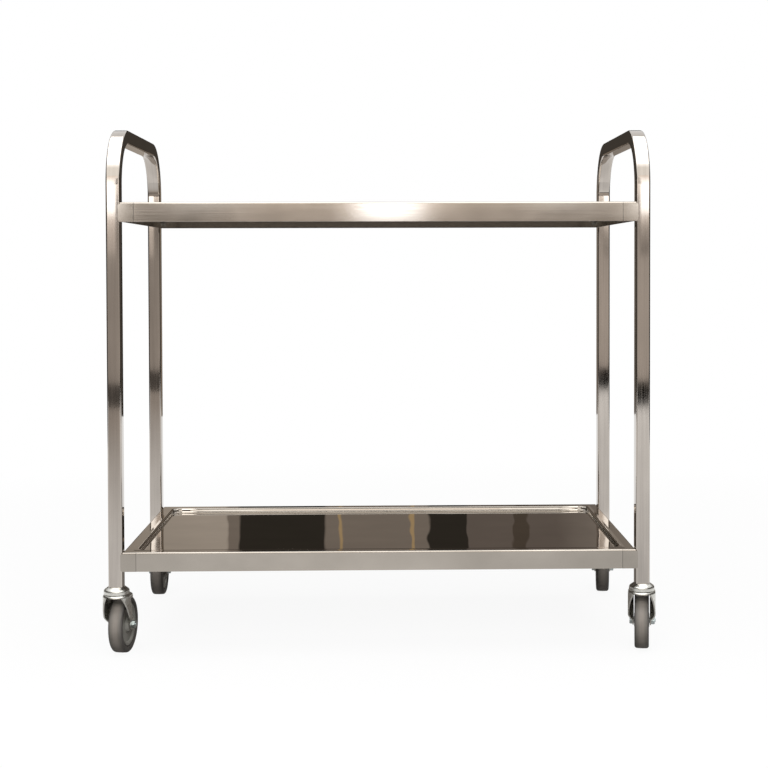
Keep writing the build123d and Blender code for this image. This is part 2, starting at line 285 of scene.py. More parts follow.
tube_sizes = {
    "Leg x": LEG_X, "Inner x": LEG_X - TUBE_SIDE / 2, "Leg y": LEG_Y, "Foot": LEG_FOOT,
    "Bar height": BAR_HEIGHT, "Bend radius": BEND_RADIUS, "Bend facets": BEND_FACETS,
    "Tube side": TUBE_SIDE, "Tube corner": TUBE_CORNER, "Tube wall": TUBE_WALL,
    "Corner facets": CORNER_FACETS, "Upper hole": UPPER_BOLT, "Lower hole": LOWER_BOLT,
    "Hole radius": NUT_HOLE, "Hole facets": NUT_HOLE_FACETS,
}
tree, size = start_tree("bent_tube", tube_sizes)
outside = swept_square(tree, size, size["Tube side"], size["Tube corner"], size["Foot"])
bore = swept_square(
    tree, size,
    sum_of(tree, "SUBTRACT", size["Tube side"], sum_of(tree, "MULTIPLY", size["Tube wall"], 2.0)),
    sum_of(tree, "SUBTRACT", size["Tube corner"], size["Tube wall"]),
    sum_of(tree, "SUBTRACT", size["Foot"], size["Tube wall"]),
)
hole_spots = block(tree, "GeometryNodeMeshGrid", {
    "Size X": sum_of(tree, "SUBTRACT", size["Upper hole"], size["Lower hole"]),
    "Size Y": sum_of(tree, "MULTIPLY", size["Leg y"], 2.0),
    "Vertices X": 2, "Vertices Y": 2,
})
middle = sum_of(tree, "DIVIDE", sum_of(tree, "ADD", size["Upper hole"], size["Lower hole"]), 2.0)
upright_spots = block(tree, "GeometryNodeTransform", {
    "Geometry": hole_spots, "Rotation": (0.0, pi / 2, 0.0),
    "Translation": point(tree, size["Inner x"], 0.0, middle),
})
drill = block(tree, "GeometryNodeMeshCylinder", {
    "Vertices": size["Hole facets"], "Radius": size["Hole radius"],
    "Depth": sum_of(tree, "MULTIPLY", size["Tube wall"], DRILL_REACH),
})
holes = block(tree, "GeometryNodeInstanceOnPoints", {
    "Points": upright_spots, "Instance": drill, "Rotation": (0.0, pi / 2, 0.0),
})
real_holes = block(tree, "GeometryNodeRealizeInstances", {"Geometry": holes})
tube = block(tree, "GeometryNodeMeshBoolean", {
    "Mesh 1": outside, "Mesh 2": [bore, real_holes],
}, operation="DIFFERENCE", solver="EXACT")
end_tree(tree, tube, satin_tube)
for hand, side in (("left", -1), ("right", 1)):
    sided = {"Leg x": side * LEG_X, "Inner x": side * (LEG_X - TUBE_SIDE / 2)}
    tube_piece = settle(tree, f"{hand}_bent_tube", tube_sizes | sided)
    stand_for(tube_piece, f"{hand}_end_frame")

# Rivet nuts and leg plugs: turned steel, zinc plated. The nuts are pulled tight in the inner leg faces
# to take the tray bolts, and the plugs are threaded blocks fixed in the leg ends for the caster stems.
ZINC_DARK = (0.42, 0.44, 0.45, 1.0)
ZINC_LIGHT = (0.66, 0.69, 0.70, 1.0)
ZINC_SPANGLE = (260.0, 260.0, 260.0)
ZINC_ROUGHNESS = (0.16, 0.36)
SPANGLE_HEIGHT = 0.00001


def dress(node, finish):
    """Put one finish on a piece that keeps its own shape."""
    nodes[node].data.materials.clear()
    nodes[node].data.materials.append(finish)


def mottled(name, per_metre, tones, roughness, metallic=1.0, detail=5.0):
    """A finish whose tone and gloss follow one noise: gives what start_finish does, and the noise."""
    finish, tree, shader, coords = start_finish(name, metallic, sum(roughness) / 2)
    mottle = marks(tree, coords["Object"], per_metre, detail)
    tree.links.new(shade(tree, span(tree, mottle, 0.0, 1.0), *tones), shader.inputs["Base Color"])
    tree.links.new(span(tree, mottle, *roughness), shader.inputs["Roughness"])
    return finish, tree, shader, coords, mottle


zinc_plate, tree, shader, coords, spangle = mottled(
    "zinc_plate", ZINC_SPANGLE, (ZINC_DARK, ZINC_LIGHT), ZINC_ROUGHNESS
)
tree.links.new(relief(tree, spangle, SPANGLE_HEIGHT), shader.inputs["Normal"])
for node in ("left_rivet_nuts", "right_rivet_nuts", "leg_plugs"):
    dress(node, zinc_plate)

# Trays: one pressed sheet of stainless steel each, with a shallow recess, a rim and deep skirts, and a
# doubled strap folded over each skirt end. The press draws the recess with leaning walls. The skirts
# are brushed lengthwise, and the floor is bright as a mirror and never quite flat.
tray_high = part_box("lower_tray")[1]
STRAP_LENGTH = 0.027
STRAP_ROOT = tray_high.x - STRAP_LENGTH
SKIRT_DEPTH = 0.002  # from the straps' outside to just past the skirts' inside
SKIRT_FACE = tray_high.y - SKIRT_DEPTH
SEAM_WIDTH = 0.0007
RIM_WIDTH = 0.025
FLOOR_HALF_LENGTH = LEG_X - TUBE_SIDE / 2 - RIM_WIDTH
FLOOR_HALF_WIDTH = SKIRT_FACE - RIM_WIDTH
DRAW_ROUND = 0.0045
WALL_LEAN = 0.2
SHEET_DARK = (0.36, 0.326, 0.286, 1.0)
SHEET_LIGHT = (0.47, 0.428, 0.378, 1.0)
SHEET_TONES = (0.2, 1.0)
SEAM_DARK = (0.16, 0.145, 0.13, 1.0)
MILL_AND_SHADE_DARK = (0.33, 0.30, 0.265, 1.0)
MILL_ROUGHNESS = 0.25
UNDER_SLOPE = -0.3
STRAP_SHADE = 0.25
SHEET_BRUSHING = (6.0, 800.0, 800.0)
SHEET_CLOUDS = (8.0, 12.0, 12.0)
SHEET_BUCKLES = (14.0, 4.0, 4.0)
SHEET_DENTS = (6.0, 6.0, 6.0)
SKIRT_ROUGHNESS = 0.04
SATIN_ROUGHNESS = (0.05, 0.08)
MIRROR_ROUGHNESS = (0.008, 0.016)
BUCKLE_HEIGHT = 0.0012
BUCKLE_CALM = 0.5
BUCKLE_RISE = (-0.1, 0.3)
DENT_HEIGHT = 0.0002
WELD = 0.00001
FLAT_WITHIN = 0.5  # degrees
bright_sheet, tree, shader, coords = start_finish("bright_sheet", metallic=1.0, roughness=0.1)
axes = apart(tree, coords["Object"])
endways = sum_of(tree, "ABSOLUTE", axes["X"])
sideways = sum_of(tree, "ABSOLUTE", axes["Y"])
in_recess = sum_of(
    tree, "MULTIPLY",
    span(tree, endways, 1.0, 0.0, FLOOR_HALF_LENGTH + DRAW_ROUND, FLOOR_HALF_LENGTH + 2 * DRAW_ROUND),
    span(tree, sideways, 1.0, 0.0, FLOOR_HALF_WIDTH + DRAW_ROUND, FLOOR_HALF_WIDTH + 2 * DRAW_ROUND),
)
on_skirt = sum_of(tree, "GREATER_THAN", sideways, SKIRT_FACE)
from_seam = sum_of(tree, "ABSOLUTE", sum_of(tree, "SUBTRACT", endways, STRAP_ROOT))
seam = sum_of(tree, "MULTIPLY", on_skirt, span(tree, from_seam, 1.0, 0.0, 0.0, SEAM_WIDTH))
on_strap = sum_of(tree, "MULTIPLY", on_skirt, sum_of(tree, "GREATER_THAN", endways, STRAP_ROOT))
brushing = marks(tree, coords["Object"], SHEET_BRUSHING, detail=4.0)
clouds = marks(tree, coords["Object"], SHEET_CLOUDS)
tone = sum_of(
    tree, "SUBTRACT", span(tree, clouds, *SHEET_TONES), sum_of(tree, "MULTIPLY", on_strap, STRAP_SHADE)
)
# Undersides and skirt insides are rougher for their dull mill finish. Their darker colour is partly that
# finish and partly painted shade where they face away from the light.
underside = block(tree, "ShaderNodeAttribute", {}, attribute_name="underside")
steel = shade(tree, underside, shade(tree, tone, SHEET_DARK, SHEET_LIGHT), MILL_AND_SHADE_DARK)
tree.links.new(shade(tree, seam, steel, SEAM_DARK), shader.inputs["Base Color"])
brushed = sum_of(tree, "MULTIPLY", on_skirt, span(tree, brushing, 0.0, SKIRT_ROUGHNESS))
satin = sum_of(tree, "ADD", brushed, span(tree, clouds, *SATIN_ROUGHNESS))
mirror = span(tree, clouds, *MIRROR_ROUGHNESS)
upper_side = block(tree, "ShaderNodeMix", {0: in_recess, 2: satin, 3: mirror})
tree.links.new(
    sum_of(tree, "MAXIMUM", upper_side, sum_of(tree, "MULTIPLY", underside, MILL_ROUGHNESS)),
    shader.inputs["Roughness"],
)
buckle = sum_of(
    tree, "MULTIPLY", marks(tree, coords["Object"], SHEET_BUCKLES, detail=1.0),
    sum_of(tree, "MULTIPLY", in_recess, span(tree, axes["X"], BUCKLE_CALM, 1.0, *BUCKLE_RISE)),
)
dents = relief(tree, marks(tree, coords["Object"], SHEET_DENTS, detail=1.0), DENT_HEIGHT)
tree.links.new(relief(tree, buckle, BUCKLE_HEIGHT, dents), shader.inputs["Normal"])


def open_copy(node, name, finish):
    """A copy of a node's piece in a finish, and its mesh with the doubles merged, open for changes."""
    piece = bpy.data.objects.new(name, nodes[node].data.copy())
    bpy.context.scene.collection.objects.link(piece)
    piece.data.materials.clear()
    piece.data.materials.append(finish)
    body = bmesh.new()
    body.from_mesh(piece.data)
    bmesh.ops.remove_doubles(body, verts=body.verts, dist=WELD)
    return piece, body


def close_copy(piece, body):
    """Make each flat one face and give the changed mesh back to its piece."""
    bmesh.ops.dissolve_limit(body, angle_limit=radians(FLAT_WITHIN), verts=body.verts, edges=body.edges)
    body.to_mesh(piece.data)
    body.free()


for tier in ("upper", "lower"):
    rim_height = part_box(f"{tier}_tray")[1].z
    pan, body = open_copy(f"{tier}_tray", f"{tier}_pressed_tray", bright_sheet)
    for spot in body.verts:
        if abs(spot.co.x) < FLOOR_HALF_LENGTH + DRAW_ROUND and abs(spot.co.y) < FLOOR_HALF_WIDTH + DRAW_ROUND:
            lean = (rim_height - spot.co.z) * WALL_LEAN
            spot.co.x -= copysign(lean, spot.co.x)
            spot.co.y -= copysign(lean, spot.co.y)
    close_copy(pan, body)
    # Mark the faces that get the darker colour: painted shade on undersides and skirt insides, on top of
    # their dull mill finish.
    dull_and_shaded = pan.data.attributes.new("underside", "FLOAT", "FACE")
    for face in pan.data.polygons:
        inside_skirt = abs(face.center.y) > SKIRT_FACE and face.normal.y * face.center.y < 0.0
        dull_and_shaded.data[face.index].value = float(face.normal.z < UNDER_SLOPE or inside_skirt)
    ease(pan, angle=30.0)
    stand_for(pan, f"{tier}_tray")

# Tray bolts and washers: zinc plated hexagon bolts, four to a tray, screwed from inside the short
# skirts into the rivet nuts, each with a flat washer under its head.
BOLT_HEAD_CORNERS = 0.011
BOLT_HEAD_HEIGHT = 0.004
BOLT_RADIUS = 0.003
BOLT_REACH = 0.012
BOLT_PITCH = 0.001
HEX_CHAMFER = 0.96
THREAD_DEPTH = 0.61  # share of the pitch
THREAD_ROWS = 160
THREAD_WELD = 0.000001
ROUND_FACETS = 48


def turned_hexagon(tree, corners, height, both_ends):
    """A hexagon bar end whose corners are turned off at 30 degrees, standing on Z = 0."""
    prism = block(tree, "GeometryNodeTransform", {
        "Geometry": block(tree, "GeometryNodeMeshCylinder", {
            "Vertices": 6, "Radius": sum_of(tree, "DIVIDE", corners, 2.0), "Depth": height,
        }),
        "Rotation": (0.0, 0.0, pi / 6),
    })
    top = sum_of(tree, "MULTIPLY", corners, cos(pi / 6) / 2 * HEX_CHAMFER)
    foot = sum_of(tree, "ADD", top, sum_of(tree, "MULTIPLY", height, tan(pi / 3)))
    crown = block(tree, "GeometryNodeMeshCone", {
        "Vertices": ROUND_FACETS, "Radius Top": top, "Radius Bottom": foot, "Depth": height,
    })
    half = sum_of(tree, "DIVIDE", height, 2.0)
    crown = block(tree, "GeometryNodeTransform", {
        "Geometry": crown, "Translation": point(tree, 0.0, 0.0, sum_of(tree, "MULTIPLY", half, -1.0)),
    })
    cutters = [crown]
    if both_ends:
        cutters.append(block(tree, "GeometryNodeTransform", {"Geometry": crown, "Rotation": (pi, 0.0, 0.0)}))
    shape = block(tree, "GeometryNodeMeshBoolean", {
        "Mesh 2": [prism] + cutters,
    }, operation="INTERSECT", solver="EXACT")
    return block(tree, "GeometryNodeTransform", {
        "Geometry": shape, "Translation": point(tree, 0.0, 0.0, half),
    })


def threaded_rod(tree, radius, length, pitch, plain):
    """A rod from Z = 0 whose screw thread starts after a plain length, closed at both ends."""
    sheet = block(tree, "GeometryNodeMeshGrid", {
        "Size X": 1.0, "Size Y": 1.0, "Vertices X": ROUND_FACETS + 1, "Vertices Y": THREAD_ROWS + 1,
    })
    axes = apart(tree, block(tree, "GeometryNodeInputPosition", {}))
    around = sum_of(tree, "ADD", axes["X"], 0.5)
    upwards = sum_of(tree, "ADD", axes["Y"], 0.5)
    z = sum_of(tree, "MULTIPLY", upwards, length)
    turn = sum_of(tree, "FRACT", sum_of(tree, "SUBTRACT", sum_of(tree, "DIVIDE", z, pitch), around))
    groove = sum_of(tree, "ABSOLUTE", sum_of(tree, "SUBTRACT", sum_of(tree, "MULTIPLY", turn, 2.0), 1.0))
    begun = span(tree, z, 0.0, 1.0, plain, sum_of(tree, "ADD", plain, pitch))
    full_depth = sum_of(tree, "MULTIPLY", pitch, THREAD_DEPTH)
    depth = sum_of(tree, "MULTIPLY", full_depth, sum_of(tree, "MULTIPLY", groove, begun))
    half_row = 0.5 / THREAD_ROWS
    past_foot = sum_of(tree, "GREATER_THAN", upwards, half_row)
    before_tip = sum_of(tree, "LESS_THAN", upwards, 1.0 - half_row)
    between_ends = sum_of(tree, "MULTIPLY", past_foot, before_tip)
    out = sum_of(tree, "MULTIPLY", sum_of(tree, "SUBTRACT", radius, depth), between_ends)
    angle = sum_of(tree, "MULTIPLY", around, 2.0 * pi)
    wound = block(tree, "GeometryNodeSetPosition", {
        "Geometry": sheet,
        "Position": point(
            tree, sum_of(tree, "MULTIPLY", out, sum_of(tree, "COSINE", angle)),
            sum_of(tree, "MULTIPLY", out, sum_of(tree, "SINE", angle)), z,
        ),
    })
    return block(tree, "GeometryNodeMergeByDistance", {"Geometry": wound, "Distance": THREAD_WELD})


def hexagon_bolt(tree, size):
    """A head below Z = 0 and a threaded shank above it."""
    head = block(tree, "GeometryNodeTransform", {
        "Geometry": turned_hexagon(tree, size["Head corners"], size["Head height"], False),
        "Rotation": (pi, 0.0, 0.0),
    })
    shank = threaded_rod(
        tree, size["Shank radius"], size["Shank length"], size["Thread pitch"], size["Plain length"]
    )
    return block(tree, "GeometryNodeJoinGeometry", {"Geometry": [head, shank]})


bolt_sizes = {
    "Head x": 0.0, "Leg y": LEG_Y, "Height": 0.0, "Head corners": BOLT_HEAD_CORNERS,
    "Head height": BOLT_HEAD_HEIGHT, "Shank radius": BOLT_RADIUS, "Shank length": BOLT_REACH,
    "Thread pitch": BOLT_PITCH, "Plain length": 2 * BOLT_PITCH,
}
tree, size = start_tree("tray_bolts", bolt_sizes)
bolt = hexagon_bolt(tree, size)
rows = []
for side in (-1, 1):
    spots = block(tree, "GeometryNodeMeshLine", {
        "Count": 2,
        "Start Location": point(
            tree, sum_of(tree, "MULTIPLY", size["Head x"], side),
            sum_of(tree, "MULTIPLY", size["Leg y"], -1.0), size["Height"],
        ),
        "Offset": point(tree, 0.0, sum_of(tree, "MULTIPLY", size["Leg y"], 2.0), 0.0),
    })
    rows.append(block(tree, "GeometryNodeInstanceOnPoints", {
        "Points": spots, "Instance": bolt, "Rotation": (0.0, side * pi / 2, 0.0),
    }))
end_tree(tree, block(tree, "GeometryNodeJoinGeometry", {"Geometry": rows}), zinc_plate)
for tier, height in (("upper", UPPER_BOLT), ("lower", LOWER_BOLT)):
    head_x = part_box(f"{tier}_tray_bolts")[1].x - BOLT_REACH
    bolts = settle(tree, f"{tier}_hexagon_bolts", bolt_sizes | {"Head x": head_x, "Height": height})
    stand_for(bolts, f"{tier}_tray_bolts")
    dress(f"{tier}_tray_washers", zinc_plate)

# Caster stems and swivel caps: a turned stem screws into each leg and clamps the cap under it. The cap
# is a domed steel pressing, bright zinc plated, and its inside is the upper ball race.
STEM_BORE = 0.00603
CAP_WALL = 0.002
CAP_TOP = LEG_FOOT
CAP_UNDER = CAP_TOP - CAP_WALL
CAP_FOOT = 0.1118
CAP_SLOPE = 0.006
CAP_FLAT = 0.0145
CAP_RADIUS = 0.0225
CAP_CROWN = 0.004
CAP_SHOULDER = 0.005
CAP_EDGE = 0.0005
RACE_FOOT = 0.1163
RACE_INSIDE = 0.0135
RACE_RADIUS = 0.0165
BALL_HEIGHT = 0.11485
GROOVE_RADIUS = 0.0028
GROOVE_STEPS = 8
STRAIGHT = 89.9  # degrees, half the angle past which a corner gets no arc
PRESSING_DARK = (0.54, 0.532, 0.495, 1.0)
PRESSING_LIGHT = (0.70, 0.692, 0.648, 1.0)
PRESSING_SPANGLE = (130.0, 130.0, 130.0)
PRESSING_ROUGHNESS = (0.24, 0.34)
CORNERS = ("front_left", "front_right", "back_left", "back_right")
joints = {joint["name"]: joint for joint in frame["joints"]}
swivel_spots = {corner: (*joints[f"{corner}_swivel_turn"]["pos_m"][:2], 0.0) for corner in CORNERS}

bright_zinc, tree, shader, coords, spangle = mottled(
    "bright_zinc", PRESSING_SPANGLE, (PRESSING_DARK, PRESSING_LIGHT), PRESSING_ROUGHNESS
)
tree.links.new(relief(tree, spangle, SPANGLE_HEIGHT), shader.inputs["Normal"])


def rounded(outline, steps=6):
    """An outline of (along, radius, rounding) corners with each corner made an arc."""
    run = []
    for i, (along, out, rounding) in enumerate(outline):
        here = Vector((along, out))
        before = Vector(outline[i - 1][:2]) - here
        after = Vector(outline[(i + 1) % len(outline)][:2]) - here
        half = before.angle(after) / 2
        if rounding == 0.0 or half > radians(STRAIGHT):
            run.append(here)
            continue
        reach = rounding / tan(half)
        start = here + before.normalized() * reach
        end = here + after.normalized() * reach
        hub = here + (before.normalized() + after.normalized()).normalized() * (rounding / sin(half))
        arms = start - hub, end - hub
        turn = arms[0].angle_signed(arms[1])
        for step in range(steps + 1):
            run.append(hub + Matrix.Rotation(-turn * step / steps, 2) @ arms[0])
    return run


def turned(name, outline, centre, axis, finish, facets=96):
    """Turn a closed outline about an axis, with a map of how far round and along each point lies."""
    run = rounded(outline)
    along = Vector(axis).normalized()
    across = along.orthogonal().normalized()
    upwards = along.cross(across)
    spots = []
    for step in range(facets):
        angle = 2 * pi * step / facets
        outwards = across * cos(angle) + upwards * sin(angle)
        spots += [Vector(centre) + along * p.x + outwards * p.y for p in run]
    count = len(run)
    faces = []
    for step in range(facets):
        for i in range(count):
            j = (i + 1) % count
            a, b = step * count, (step + 1) % facets * count
            faces.append((a + i, a + j, b + j, b + i))
    mesh = bpy.data.meshes.new(name)
    mesh.from_pydata(spots, [], faces)
    rims = [0.0]
    for i in range(count):
        rims.append(rims[-1] + (run[(i + 1) % count] - run[i]).length)
    sheet = mesh.uv_layers.new(name="turning")
    for face in mesh.polygons:
        step, i = divmod(face.index, count)
        round_face = ((step, i), (step, i + 1), (step + 1, i + 1), (step + 1, i))
        for loop, (s, k) in zip(face.loop_indices, round_face):
            sheet.data[loop].uv = (s / facets, rims[k])
    body = bmesh.new()
    body.from_mesh(mesh)
    bmesh.ops.recalc_face_normals(body, faces=body.faces)
    body.to_mesh(mesh)
    body.free()
    mesh.materials.append(finish)
    piece = bpy.data.objects.new(name, mesh)
    bpy.context.scene.collection.objects.link(piece)
    ease(piece, angle=40.0)
    return piece


groove_start = asin((RACE_FOOT - BALL_HEIGHT) / GROOVE_RADIUS)
groove = [
    (BALL_HEIGHT + GROOVE_RADIUS * sin(angle), RACE_RADIUS + GROOVE_RADIUS * cos(angle), 0.0)
    for angle in (
        groove_start + (pi - 2 * groove_start) * step / GROOVE_STEPS for step in range(GROOVE_STEPS + 1)
    )
]
cap_outline = [
    (CAP_TOP, STEM_BORE, 0.0), (CAP_TOP, CAP_FLAT, CAP_CROWN),
    (CAP_TOP - CAP_SLOPE, CAP_RADIUS, CAP_SHOULDER), (CAP_FOOT, CAP_RADIUS, CAP_EDGE),
    (CAP_FOOT, CAP_RADIUS - CAP_WALL, CAP_EDGE), (RACE_FOOT, CAP_RADIUS - CAP_WALL, 0.0),
    *groove, (RACE_FOOT, RACE_INSIDE, 0.0), (CAP_UNDER, RACE_INSIDE, 0.0), (CAP_UNDER, STEM_BORE, 0.0),
]
for corner in CORNERS:
    dress(f"{corner}_caster_stem", zinc_plate)
    cap = turned(f"{corner}_domed_cap", cap_outline, swivel_spots[corner], (0.0, 0.0, 1.0), bright_zinc)
    stand_for(cap, f"{corner}_swivel_cap")

# Swivel balls: hardened and polished steel, sixteen to a ring. They roll in the grooves of the cap and of
# the fork's crown, under a film of grease.
BALL_RADIUS = 0.0025
BALL_COUNT = 16
STEEL_DARK = (0.60, 0.60, 0.61, 1.0)
STEEL_LIGHT = (0.74, 0.74, 0.75, 1.0)
STEEL_GREASE = (300.0, 300.0, 300.0)
STEEL_ROUGHNESS = (0.06, 0.2)
BALL_SEGMENTS = 24
BALL_ROWS = 16
ball_steel = mottled("ball_steel", STEEL_GREASE, (STEEL_DARK, STEEL_LIGHT), STEEL_ROUGHNESS, detail=3.0)[0]
ring_sizes = {
    "Balls": BALL_COUNT, "Ball radius": BALL_RADIUS, "Ring radius": RACE_RADIUS, "Height": BALL_HEIGHT,
}
tree, size = start_tree("ball_ring", ring_sizes)
spots = block(tree, "GeometryNodeTransform", {
    "Geometry": block(tree, "GeometryNodeMeshCircle", {
        "Vertices": size["Balls"], "Radius": size["Ring radius"],
    }),
    "Translation": point(tree, 0.0, 0.0, size["Height"]),
})
ball = block(tree, "GeometryNodeMeshUVSphere", {
    "Segments": BALL_SEGMENTS, "Rings": BALL_ROWS, "Radius": size["Ball radius"],
})
end_tree(tree, block(tree, "GeometryNodeInstanceOnPoints", {"Points": spots, "Instance": ball}), ball_steel)
for corner in CORNERS:
    ring = settle(tree, f"{corner}_ball_ring", ring_sizes, Matrix.Translation(swivel_spots[corner]))
    stand_for(ring, f"{corner}_swivel_balls")

# Forks: one steel pressing each, a crown with a round head that draws in to two flat arms. They are
# blanked, folded and bright zinc plated, with the cut edges tumbled smooth.
FORK_EDGE = 0.0004
FORK_EDGE_FACETS = 2
FORK_EDGE_ANGLE = 40.0  # degrees
for corner in CORNERS:
    fork, body = open_copy(f"{corner}_fork", f"{corner}_fork_pressing", bright_zinc)
    close_copy(fork, body)
    tumbling = fork.modifiers.new("tumbled_edges", "BEVEL")
    tumbling.width = FORK_EDGE
    tumbling.segments = FORK_EDGE_FACETS
    tumbling.limit_method = "ANGLE"
    tumbling.angle_limit = radians(FORK_EDGE_ANGLE)
    keep_result(fork)
    ease(fork)
    stand_for(fork, f"{corner}_fork")

# Axle bolts and nuts: a zinc plated hexagon bolt through each fork's arms, with a plain nut outside
# the arm on the trolley's right, where a little of the thread stands past it.
ARM_OUTSIDE = 0.0165
AXLE_RADIUS = 0.004
AXLE_HEAD_CORNERS = 0.015
AXLE_HEAD_HEIGHT = 0.0053
AXLE_NUT_HEIGHT = 0.0065
AXLE_END = 0.0015
AXLE_PITCH = 0.00125
PLATE_DARK = (0.50, 0.56, 0.57, 1.0)
PLATE_LIGHT = (0.70, 0.78, 0.79, 1.0)
PLATE_ROUGHNESS = (0.16, 0.3)
NUT_PLAY = 0.00005
TAP_REACH = 3.0  # nut heights
blue_zinc = mottled("blue_zinc", ZINC_SPANGLE, (PLATE_DARK, PLATE_LIGHT), PLATE_ROUGHNESS)[0]
axle_sizes = {
    "Head corners": AXLE_HEAD_CORNERS, "Head height": AXLE_HEAD_HEIGHT, "Shank radius": AXLE_RADIUS,
    "Shank length": 2 * ARM_OUTSIDE + AXLE_NUT_HEIGHT + AXLE_END, "Thread pitch": AXLE_PITCH,
    "Plain length": 2 * ARM_OUTSIDE - AXLE_NUT_HEIGHT,
}
bolt_tree, size = start_tree("axle_bolt", axle_sizes)
end_tree(bolt_tree, hexagon_bolt(bolt_tree, size), blue_zinc)
nut_sizes = {
    "Corners": AXLE_HEAD_CORNERS, "Height": AXLE_NUT_HEIGHT, "Bore radius": AXLE_RADIUS + NUT_PLAY,
}
nut_tree, size = start_tree("axle_nut", nut_sizes)
tapping = block(nut_tree, "GeometryNodeMeshCylinder", {
    "Vertices": ROUND_FACETS, "Radius": size["Bore radius"],
    "Depth": sum_of(nut_tree, "MULTIPLY", size["Height"], TAP_REACH),
})
end_tree(nut_tree, block(nut_tree, "GeometryNodeMeshBoolean", {
    "Mesh 1": turned_hexagon(nut_tree, size["Corners"], size["Height"], True), "Mesh 2": [tapping],
}, operation="DIFFERENCE", solver="EXACT"), blue_zinc)
for corner in CORNERS:
    spin = joints[f"{corner}_wheel_spin"]
    along = Vector(spin["axis"])
    upright = Vector((0.0, 0.0, 1.0))
    facing = Matrix((upright, along.cross(upright), along)).transposed()
    for name, tree, sizes, slide in (
        ("axle_bolt", bolt_tree, axle_sizes, -ARM_OUTSIDE), ("axle_nut", nut_tree, nut_sizes, ARM_OUTSIDE)
    ):
        spot = Vector(spin["pos_m"]) + along * slide
        fastener = settle(tree, f"{corner}_hexagon_{name}", sizes, Matrix.Translation(spot) @ facing.to_4x4())
        stand_for(fastener, f"{corner}_{name}")

# Sleeves and bushes: a zinc plated steel tube that the axle bolt clamps between the fork's arms, and a
# moulded nylon bush, pressed into the hub, that turns on it.
NYLON_DARK = (0.56, 0.54, 0.48, 1.0)
NYLON_LIGHT = (0.68, 0.66, 0.60, 1.0)
NYLON_DUST = (90.0, 90.0, 90.0)
NYLON_ROUGHNESS = (0.3, 0.5)
nylon = mottled(
    "nylon", NYLON_DUST, (NYLON_DARK, NYLON_LIGHT), NYLON_ROUGHNESS, metallic=0.0, detail=4.0
)[0]
for corner in CORNERS:
    dress(f"{corner}_axle_sleeve", zinc_plate)
    dress(f"{corner}_hub_bush", nylon)

# Wheel hubs: moulded grey plastic, a boss for the bush and a flat web with a lipped rim that holds the
# tyre. The mould leaves a fine grain.
HUB_BORE = 0.00758
HUB_HALF = 0.0135
BOSS_RADIUS = 0.012
WEB_HALF = 0.0075
WEB_INSIDE = 0.015
WEB_OUTSIDE = 0.031
RIM_HALF = 0.011
LIP_RADIUS = 0.034
RIM_RADIUS = 0.037
HUB_DARK = (0.33, 0.32, 0.285, 1.0)
HUB_LIGHT = (0.42, 0.41, 0.37, 1.0)
HUB_DUST = (45.0, 45.0, 45.0)
HUB_ROUGHNESS = (0.32, 0.5)
HUB_GRAIN = (1500.0, 1500.0, 1500.0)
HUB_GRAIN_HEIGHT = 0.00002
HUB_EDGE = 0.0004
BOSS_EDGE = 0.001
WEB_ROUND = 0.002
LIP_ROUND = 0.001


def both_sides(half):
    """A half outline on the positive side, continued by its mirror image."""
    return half + [(-along, out, rounding) for along, out, rounding in reversed(half)]


hub_plastic, tree, shader, coords, dust = mottled(
    "hub_plastic", HUB_DUST, (HUB_DARK, HUB_LIGHT), HUB_ROUGHNESS, metallic=0.0
)
grain = marks(tree, coords["Object"], HUB_GRAIN, detail=2.0)
tree.links.new(relief(tree, grain, HUB_GRAIN_HEIGHT), shader.inputs["Normal"])
hub_outline = both_sides([
    (HUB_HALF, HUB_BORE, HUB_EDGE), (HUB_HALF, BOSS_RADIUS, BOSS_EDGE), (WEB_HALF, WEB_INSIDE, WEB_ROUND),
    (WEB_HALF, WEB_OUTSIDE, WEB_ROUND), (RIM_HALF, LIP_RADIUS, LIP_ROUND), (RIM_HALF, RIM_RADIUS, HUB_EDGE),
])
for corner in CORNERS:
    spin = joints[f"{corner}_wheel_spin"]
    hub = turned(f"{corner}_moulded_hub", hub_outline, spin["pos_m"], spin["axis"], hub_plastic)
    stand_for(hub, f"{corner}_wheel_hub")

# Tyres: soft grey rubber moulded onto the hub's rim, with a nearly flat tread, round shoulders and a
# bead that draws in to the rim. The tread is scuffed from rolling, and it is lighter down its middle:
# partly dust, partly a painted highlight where the front light falls on its crown.
TYRE_HALF = 0.01275
BEAD_HALF = 0.010
TYRE_BORE = 0.03703
BEAD_HEIGHT = 0.0025
TREAD_EDGE = 0.0492
TREAD_PEAK = 0.0502
TREAD_ROUND = 0.1
SHOULDER = 0.0045
BEAD_EDGE = 0.0004
BEAD_ROUND = 0.0008
WALL_ROUND = 0.0016
TYRE_FACETS = 128
DUST_AND_LIGHT_HALF = 0.0025
DUST_AND_LIGHT_FADE = 0.0115
RUBBER_DARK = (0.085, 0.079, 0.072, 1.0)
RUBBER_LIGHT = (0.135, 0.126, 0.116, 1.0)
RUBBER_DUST_AND_LIGHT = (0.31, 0.275, 0.24, 1.0)
RUBBER_SCUFFS = (14.0, 900.0, 1.0)
SCUFF_SHARE = 0.45
RUBBER_CLOUDS = (70.0, 70.0, 70.0)
RUBBER_PORES = (1100.0, 1100.0, 1100.0)
RUBBER_ROUGHNESS = (0.45, 0.65)
DUST_AND_LIGHT_LEAST = 0.75
PORE_HEIGHT = 0.00004
SCUFF_HEIGHT = 0.00006
tyre_outline = both_sides([
    (BEAD_HALF, TYRE_BORE, BEAD_EDGE), (BEAD_HALF, TYRE_BORE + BEAD_HEIGHT, BEAD_ROUND),
    (TYRE_HALF, TYRE_BORE + 2 * BEAD_HEIGHT, WALL_ROUND), (TYRE_HALF, TREAD_EDGE, SHOULDER),
])
tyre_outline.insert(len(tyre_outline) // 2, (0.0, TREAD_PEAK, TREAD_ROUND))
tyre_run = rounded(tyre_outline)
